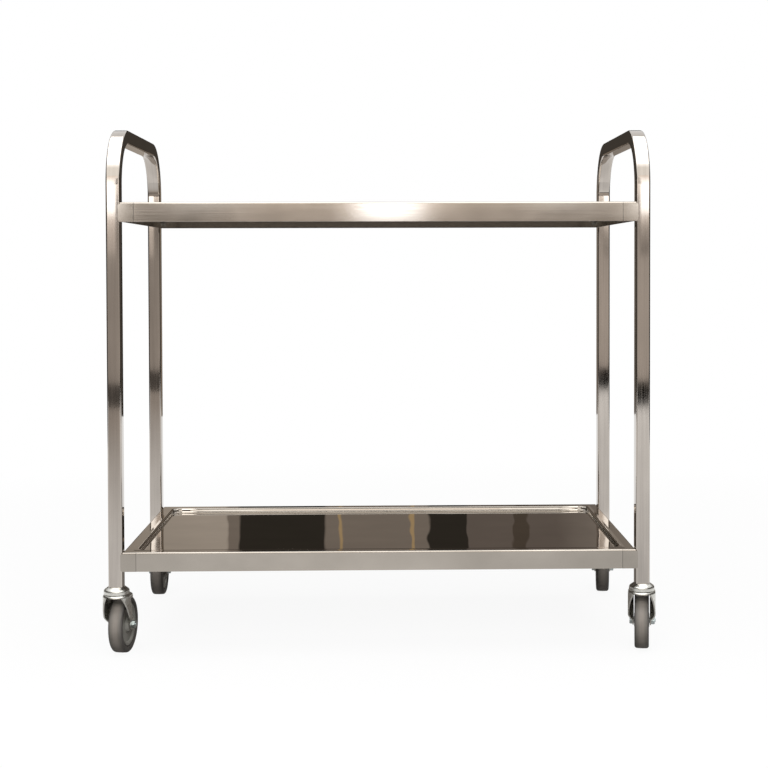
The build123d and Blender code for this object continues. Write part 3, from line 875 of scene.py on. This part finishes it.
TREAD_MIDDLE = sum((b - a).length for a, b in zip(tyre_run, tyre_run[1:])) / 2
grey_rubber, tree, shader, coords = start_finish("grey_rubber", metallic=0.0, roughness=0.55)
axes = apart(tree, coords["UV"])
from_middle = sum_of(tree, "ABSOLUTE", sum_of(tree, "SUBTRACT", axes["Y"], TREAD_MIDDLE))
scuffs = marks(tree, coords["UV"], RUBBER_SCUFFS, detail=4.0)
dust = marks(tree, coords["Object"], RUBBER_CLOUDS, detail=6.0)
tone = sum_of(
    tree, "ADD", span(tree, scuffs, 0.0, SCUFF_SHARE), span(tree, dust, 0.0, 1.0 - SCUFF_SHARE)
)
# The lighter band down the tread's middle is partly dust and partly a painted highlight from the front light.
on_tread = span(tree, from_middle, 1.0, 0.0, DUST_AND_LIGHT_HALF, DUST_AND_LIGHT_FADE)
dust_and_light = sum_of(tree, "MULTIPLY", on_tread, span(tree, tone, DUST_AND_LIGHT_LEAST, 1.0, 0.0, 1.0))
rubber = shade(tree, tone, RUBBER_DARK, RUBBER_LIGHT)
tree.links.new(shade(tree, dust_and_light, rubber, RUBBER_DUST_AND_LIGHT), shader.inputs["Base Color"])
tree.links.new(span(tree, dust, *RUBBER_ROUGHNESS), shader.inputs["Roughness"])
pores = relief(tree, marks(tree, coords["Object"], RUBBER_PORES), PORE_HEIGHT)
tree.links.new(relief(tree, scuffs, SCUFF_HEIGHT, pores), shader.inputs["Normal"])
for corner in CORNERS:
    spin = joints[f"{corner}_wheel_spin"]
    tyre = turned(
        f"{corner}_moulded_tyre", tyre_outline, spin["pos_m"], spin["axis"], grey_rubber, TYRE_FACETS
    )
    stand_for(tyre, f"{corner}_tyre")

# Studio floor: a wide sheet of pale paper under the trolley. It is white to the camera and in the metal,
# apart from the trolley's faint shadow.
FLOOR_REACH = 30.0
SHADOW_NEAR = 0.9
SHADOW_FAR = 2.4
SHADOW_SHARE = 0.07
FLOOR_PALE = (0.92, 0.92, 0.92, 1.0)
FLOOR_BOUNCE = (0.1, 0.1, 0.1, 1.0)


def stage_sheet(name, corners):
    """A flat studio sheet with a bare material: gives the object and the material's tree."""
    mesh = bpy.data.meshes.new(name)
    mesh.from_pydata(corners, [], [tuple(range(len(corners)))])
    sheet = bpy.data.objects.new(name, mesh)
    bpy.context.scene.collection.objects.link(sheet)
    paint = bpy.data.materials.new(name)
    paint.use_nodes = True
    paint.node_tree.nodes.remove(paint.node_tree.nodes["Principled BSDF"])
    mesh.materials.append(paint)
    return sheet, paint.node_tree


def seen_rays(tree):
    """1 for what the camera sees, straight or in a reflection, and 0 for light that only spreads."""
    rays = tree.nodes.new("ShaderNodeLightPath").outputs
    mirrored = sum_of(tree, "MAXIMUM", rays["Is Glossy Ray"], rays["Is Transmission Ray"])
    return sum_of(tree, "MAXIMUM", rays["Is Camera Ray"], mirrored)


_, tree = stage_sheet("studio_floor", [
    (x * FLOOR_REACH, y * FLOOR_REACH, 0.0) for x, y in ((-1, -1), (1, -1), (1, 1), (-1, 1))
])
seen = seen_rays(tree)
place = tree.nodes.new("ShaderNodeTexCoord").outputs["Object"]
away = tree.nodes.new("ShaderNodeVectorMath")
away.operation = "LENGTH"
tree.links.new(place, away.inputs[0])
white_share = span(tree, away.outputs["Value"], 1.0 - SHADOW_SHARE, 1.0, SHADOW_NEAR, SHADOW_FAR)
matt = block(tree, "ShaderNodeBsdfDiffuse", {"Color": shade(tree, seen, FLOOR_BOUNCE, FLOOR_PALE)})
paper = block(tree, "ShaderNodeEmission", {})
both = block(tree, "ShaderNodeMixShader", {0: sum_of(tree, "MULTIPLY", seen, white_share), 1: matt, 2: paper})
tree.links.new(both, tree.nodes["Material Output"].inputs["Surface"])

# Front wall: a pale studio wall behind the camera with a dark foot, a bright window in its middle and a
# glow towards the ceiling. Like every screen here it is a plain sheet that only the polished steel sees.
SCREEN_REACH = 5.0
FRONT_Y = -4.9
FRONT_TOP = 5.8
SKIRTING = 0.115
SKIRTING_FADE = 0.012
DIM_RISE = (0.7, 0.82)
LIT_RISE = (0.87, 0.97)
HIGH_RISE = (0.99, 1.05)
TOP_RISE = (1.9, 2.1)
GLOW_RISE = (4.4, FRONT_TOP)
WINDOW = (6.0, 6.2, 6.6)
WARM_SHARES = (1.0, 0.9, 0.82)
TOP_WHITE = (1.4, 1.37, 1.31, 1.0)
GLOW_WHITE = (2.5, 2.5, 2.5, 1.0)


def stripes(tree, amount, stops, low, high):
    """Colours that change along a number, each given at its own value."""
    ramp = tree.nodes.new("ShaderNodeValToRGB")
    ramp.color_ramp.elements[0].position = 0.0
    ramp.color_ramp.elements[1].position = 1.0
    for _ in stops[2:]:
        ramp.color_ramp.elements.new(0.5)
    for element, (at, colour) in zip(ramp.color_ramp.elements, stops):
        element.position = (at - low) / (high - low)
        element.color = (*colour, 1.0)
    tree.links.new(span(tree, amount, 0.0, 1.0, low, high), ramp.inputs["Fac"])
    return ramp.outputs["Color"]


def screen(name, corners):
    """A sheet that only reflections see: gives its tree and its own X, Y and Z."""
    sheet, tree = stage_sheet(name, corners)
    sheet.visible_camera = False
    sheet.visible_diffuse = False
    sheet.visible_shadow = False
    return tree, apart(tree, tree.nodes.new("ShaderNodeTexCoord").outputs["Object"])


def glow(tree, colour):
    """End a screen's tree with its own light."""
    light = block(tree, "ShaderNodeEmission", {"Color": colour})
    tree.links.new(light, tree.nodes["Material Output"].inputs["Surface"])


def across(y, left, right, foot, top):
    """The corners of a screen that faces along the studio."""
    return [(x, y, z) for x, z in ((left, foot), (right, foot), (right, top), (left, top))]


def warm(level):
    """A warm grey of one brightness."""
    return tuple(share * level for share in WARM_SHARES)


def white(level):
    """A neutral white of one brightness."""
    return (level, level, level)


tree, axes = screen("front_screen", across(FRONT_Y, -SCREEN_REACH, SCREEN_REACH, 0.0, FRONT_TOP))
low_wall = stripes(tree, axes["X"], (
    (-SCREEN_REACH, warm(0.5)), (-1.3, warm(0.44)), (-0.5, warm(0.62)), (1.3, warm(0.6)),
    (SCREEN_REACH, warm(0.55)),
), -SCREEN_REACH, SCREEN_REACH)
dim_wall = stripes(tree, axes["X"], (
    (-SCREEN_REACH, warm(0.5)), (-1.2, warm(0.36)), (-0.85, warm(0.36)), (-0.6, warm(0.7)), (0.6, warm(0.6)),
    (1.1, warm(0.55)), (SCREEN_REACH, warm(0.5)),
), -SCREEN_REACH, SCREEN_REACH)
lit_wall = stripes(tree, axes["X"], (
    (-SCREEN_REACH, warm(0.5)), (-1.2, warm(0.36)), (-0.88, warm(0.36)), (-0.74, warm(0.72)),
    (-0.28, warm(0.9)), (-0.16, warm(1.5)), (-0.06, WINDOW), (0.13, WINDOW), (0.23, warm(1.5)),
    (0.36, warm(0.85)), (0.55, warm(0.5)), (1.18, warm(0.58)), (SCREEN_REACH, warm(0.6)),
), -SCREEN_REACH, SCREEN_REACH)
high_wall = stripes(tree, axes["X"], (
    (-1.1, warm(1.5)), (-0.95, white(2.6)), (-0.75, white(2.6)), (-0.6, warm(2.0)), (0.7, warm(2.0)),
    (0.8, white(2.8)), (1.0, white(2.8)), (1.1, warm(1.5)),
), -SCREEN_REACH, SCREEN_REACH)
foot = stripes(tree, axes["X"], ((-1.3, warm(0.1)), (1.3, warm(0.0))), -SCREEN_REACH, SCREEN_REACH)
above_foot = span(tree, axes["Z"], 0.0, 1.0, SKIRTING - SKIRTING_FADE, SKIRTING + SKIRTING_FADE)
wall = shade(tree, above_foot, foot, low_wall)
for rise, upper_wall in (
    (DIM_RISE, dim_wall), (LIT_RISE, lit_wall), (HIGH_RISE, high_wall), (TOP_RISE, TOP_WHITE),
    (GLOW_RISE, GLOW_WHITE),
):
    wall = shade(tree, span(tree, axes["Z"], 0.0, 1.0, *rise), wall, upper_wall)
glow(tree, wall)

# Strip lights and posts: an upright strip light stands before each end of the front wall, for the bright
# tops of the front legs, with a duller post beside it for the back legs.
STRIP_STAND = 0.01
STRIP_FOOT = 0.72
STRIP_TOP = 2.6
STRIP_WHITE = (2.8, 2.8, 2.8)
POST_STAND = 0.02
POST_FOOT = 1.13
POST_TOP = 2.2
POST_RISE = 1.1  # how much brighter a post is at its top
for name, near, far, foot_level, middle_level in (
    ("left_strip_light", -1.228, -1.45, 0.74, 0.9), ("right_strip_light", 1.208, 1.43, 0.36, 0.64)
):
    tree, axes = screen(name, across(FRONT_Y + STRIP_STAND, near, far, STRIP_FOOT, STRIP_TOP))
    glow(tree, stripes(tree, axes["Z"], (
        (STRIP_FOOT, warm(0.5)), (0.76, warm(foot_level)), (0.856, warm(middle_level)), (0.922, warm(1.25)),
        (0.945, STRIP_WHITE), (1.15, STRIP_WHITE), (2.5, warm(1.45)), (STRIP_TOP, warm(1.45)),
    ), STRIP_FOOT, STRIP_TOP))
for name, near, far, level in (("left_post", -1.1, -1.24, 0.36), ("right_post", 1.08, 1.222, 0.85)):
    tree, axes = screen(name, across(FRONT_Y + POST_STAND, near, far, POST_FOOT, POST_TOP))
    glow(tree, stripes(tree, axes["Z"], (
        (POST_FOOT, warm(level)), (POST_TOP, warm(POST_RISE * level)),
    ), POST_FOOT, POST_TOP))

# Floor cloths: one in front of the trolley, duller on its far left, where it stands for a shade on the
# floor, and a dark one that stands for the shade under the lower tray. Only the polished steel sees them.
CLOTH_REACH = 2.0
CLOTH_END = -0.8
CLOTH_HEIGHT = 0.001
CLOTH_CHANGE = (-4.2, -1.3)
SHADE_REACH = 0.62
SHADE_FRONT = -0.45
SHADE_BACK = 1.1
SHADE_FADE = 0.2
SHADE_DARK = (*warm(0.2), 1.0)
SHADE_EDGE = (1.0, 1.0, 1.0, 1.0)


def laid(reach, front, back):
    """The corners of a sheet that lies on the floor."""
    return [(x * reach, y, CLOTH_HEIGHT) for x, y in ((-1, front), (1, front), (1, back), (-1, back))]


tree, axes = screen("front_cloth", laid(CLOTH_REACH, FRONT_Y, CLOTH_END))
# The far part darkens towards the left: painted shade on the floor as the steel sees it.
far_cloth = stripes(tree, axes["X"], (
    (-CLOTH_REACH, warm(0.42)), (-0.75, warm(0.52)), (0.2, white(1.0)), (CLOTH_REACH, white(1.12)),
), -CLOTH_REACH, CLOTH_REACH)
near_cloth = stripes(tree, axes["X"], (
    (-CLOTH_REACH, white(0.8)), (-0.5, white(0.88)), (-0.1, white(1.0)), (0.4, white(0.88)),
    (0.57, white(0.74)), (0.66, white(0.88)), (CLOTH_REACH, white(0.9)),
), -CLOTH_REACH, CLOTH_REACH)
glow(tree, shade(tree, span(tree, axes["Y"], 0.0, 1.0, *CLOTH_CHANGE), far_cloth, near_cloth))
tree, axes = screen("floor_shade", laid(SHADE_REACH, SHADE_FRONT, SHADE_BACK))
past_end = sum_of(tree, "SUBTRACT", sum_of(tree, "ABSOLUTE", axes["X"]), SHADE_REACH)
past_front = sum_of(tree, "SUBTRACT", SHADE_FRONT, axes["Y"])
past_back = sum_of(tree, "SUBTRACT", axes["Y"], SHADE_BACK)
past_edge = sum_of(tree, "MAXIMUM", past_end, sum_of(tree, "MAXIMUM", past_front, past_back))
glow(tree, shade(tree, span(tree, past_edge, 0.0, 1.0, -SHADE_FADE, 0.0), SHADE_DARK, SHADE_EDGE))

# Back panels: a row of pale, dim and dark panels with two brass strips among them stands behind the
# trolley, under a dark upper wall. The bright floor of the lower tray shows them.
BACK_Y = 4.0
SCREEN_TOP = 2.6
PANEL_REACH = 0.8
PANEL_EDGE = 0.002
PANEL_RISE = (1.04, 1.12)
BEYOND_REACH = 1.3
PALE_PANEL = (0.44, 0.38, 0.32)
DIM_PANEL = (0.218, 0.181, 0.15)
DARK_PANEL = (0.033, 0.028, 0.022)
SHADED_PANEL = (0.145, 0.118, 0.1)
PANEL_GAP = (0.085, 0.066, 0.05)
BRASS_STRIP = (0.42, 0.297, 0.157)
BEYOND_PANELS = (0.34, 0.295, 0.25, 1.0)
ABOVE_PANELS = (0.06, 0.051, 0.042, 1.0)
tree, axes = screen("back_screen", across(BACK_Y, -SCREEN_REACH, SCREEN_REACH, 0.0, SCREEN_TOP))
panel_stops = []
for start, end, tone in (
    (-PANEL_REACH, -0.705, PALE_PANEL), (-0.705, -0.65, DIM_PANEL), (-0.65, -0.257, DARK_PANEL),
    (-0.257, -0.198, DIM_PANEL), (-0.198, -0.183, BRASS_STRIP), (-0.183, 0.129, DIM_PANEL),
    (0.129, 0.147, BRASS_STRIP), (0.147, 0.21, DIM_PANEL), (0.21, 0.39, DARK_PANEL),
    (0.39, 0.61, SHADED_PANEL), (0.61, 0.665, PANEL_GAP), (0.665, PANEL_REACH, SHADED_PANEL),
):
    panel_stops += [(start + PANEL_EDGE, tone), (end - PANEL_EDGE, tone)]
panels = stripes(tree, axes["X"], panel_stops, -PANEL_REACH, PANEL_REACH)
beyond = span(tree, sum_of(tree, "ABSOLUTE", axes["X"]), 0.0, 1.0, PANEL_REACH, BEYOND_REACH)
panels = shade(tree, beyond, panels, BEYOND_PANELS)
glow(tree, shade(tree, span(tree, axes["Z"], 0.0, 1.0, *PANEL_RISE), panels, ABOVE_PANELS))

# Side screens: dim sheets at both ends of the studio, a little lighter towards the top, so that the ends
# of the trolley and the rounded corners of its tubes have something dark to show.
SIDE_X = 3.6
SIDE_STEP = 0.25
SIDE_FOOT = (0.04, 0.036, 0.032)
SIDE_LOW = (0.065, 0.058, 0.05)
SIDE_HIGH = (0.085, 0.076, 0.066)
for name, x in (("left_screen", -SIDE_X), ("right_screen", SIDE_X)):
    tree, axes = screen(name, [
        (x, FRONT_Y, 0.0), (x, BACK_Y, 0.0), (x, BACK_Y, SCREEN_TOP), (x, FRONT_Y, SCREEN_TOP)
    ])
    glow(tree, stripes(tree, axes["Z"], (
        (0.0, SIDE_FOOT), (SIDE_STEP, SIDE_LOW), (SCREEN_TOP, SIDE_HIGH),
    ), 0.0, SCREEN_TOP))

# Studio light: two softboxes, a wide one overhead and one above the camera. The metal doesn't show the
# second, which is there for the rubber and the floor.
for name, spot, aim, wide, tall, power, in_metal in (
    ("softbox_overhead", (0.0, -0.6, 2.9), (0.0, -0.6, 0.0), 3.4, 3.2, 92.0, True),
    ("softbox_front", (0.0, -3.4, 2.0), (0.0, 0.0, 0.3), 3.6, 1.6, 105.0, False),
):
    lamp = bpy.data.lights.new(name, "AREA")
    lamp.shape = "RECTANGLE"
    lamp.size = wide
    lamp.size_y = tall
    lamp.energy = power
    box = bpy.data.objects.new(name, lamp)
    bpy.context.scene.collection.objects.link(box)
    box.location = spot
    box.rotation_euler = (Vector(aim) - Vector(spot)).to_track_quat("-Z", "Y").to_euler()
    box.visible_camera = False
    box.visible_glossy = in_metal

# Room light: a dim even fill on the trolley. Wherever the camera or the metal looks past the studio, the
# room is plain white.
FILL = 0.06
ROOM_WHITE = (1.0, 1.0, 1.0, 1.0)
room = bpy.data.worlds.new("studio")
bpy.context.scene.world = room
room.use_nodes = True
tree = room.node_tree
fill = tree.nodes["Background"]
fill.inputs["Color"].default_value = ROOM_WHITE
fill.inputs["Strength"].default_value = FILL
paper = block(tree, "ShaderNodeBackground", {"Color": ROOM_WHITE})
both = block(tree, "ShaderNodeMixShader", {0: seen_rays(tree), 1: fill.outputs[0], 2: paper})
tree.links.new(both, tree.nodes["World Output"].inputs["Surface"])

# Camera: it stands in front, level with the space between the trays and near enough for the handles to
# run back. The lens is shifted a little, because the picture is cut off centre.
IMAGE = 768.0
FOCAL = 1518.75
CENTRE = (417.18, 303.61)
YAW = 0.02273
PITCH = 0.02637
ROLL = -0.00238
STAND = (0.005726, -2.90106, 0.68964)
SENSOR = 36.0
ahead = Vector((sin(YAW) * cos(PITCH), cos(YAW) * cos(PITCH), -sin(PITCH)))
level = Vector((cos(YAW), -sin(YAW), 0.0))
upright = level.cross(ahead)
right = level * cos(ROLL) + upright * sin(ROLL)
up = upright * cos(ROLL) - level * sin(ROLL)
lens = bpy.data.cameras.new("camera")
lens.sensor_width = SENSOR
lens.lens = FOCAL / IMAGE * SENSOR
lens.shift_x = (IMAGE / 2 - CENTRE[0]) / IMAGE
lens.shift_y = (CENTRE[1] - IMAGE / 2) / IMAGE
camera = bpy.data.objects.new("camera", lens)
bpy.context.scene.collection.objects.link(camera)
camera.matrix_world = Matrix.Translation(STAND) @ Matrix((right, up, -ahead)).transposed().to_4x4()
bpy.context.scene.camera = camera
bpy.context.scene.view_settings.view_transform = "Standard"
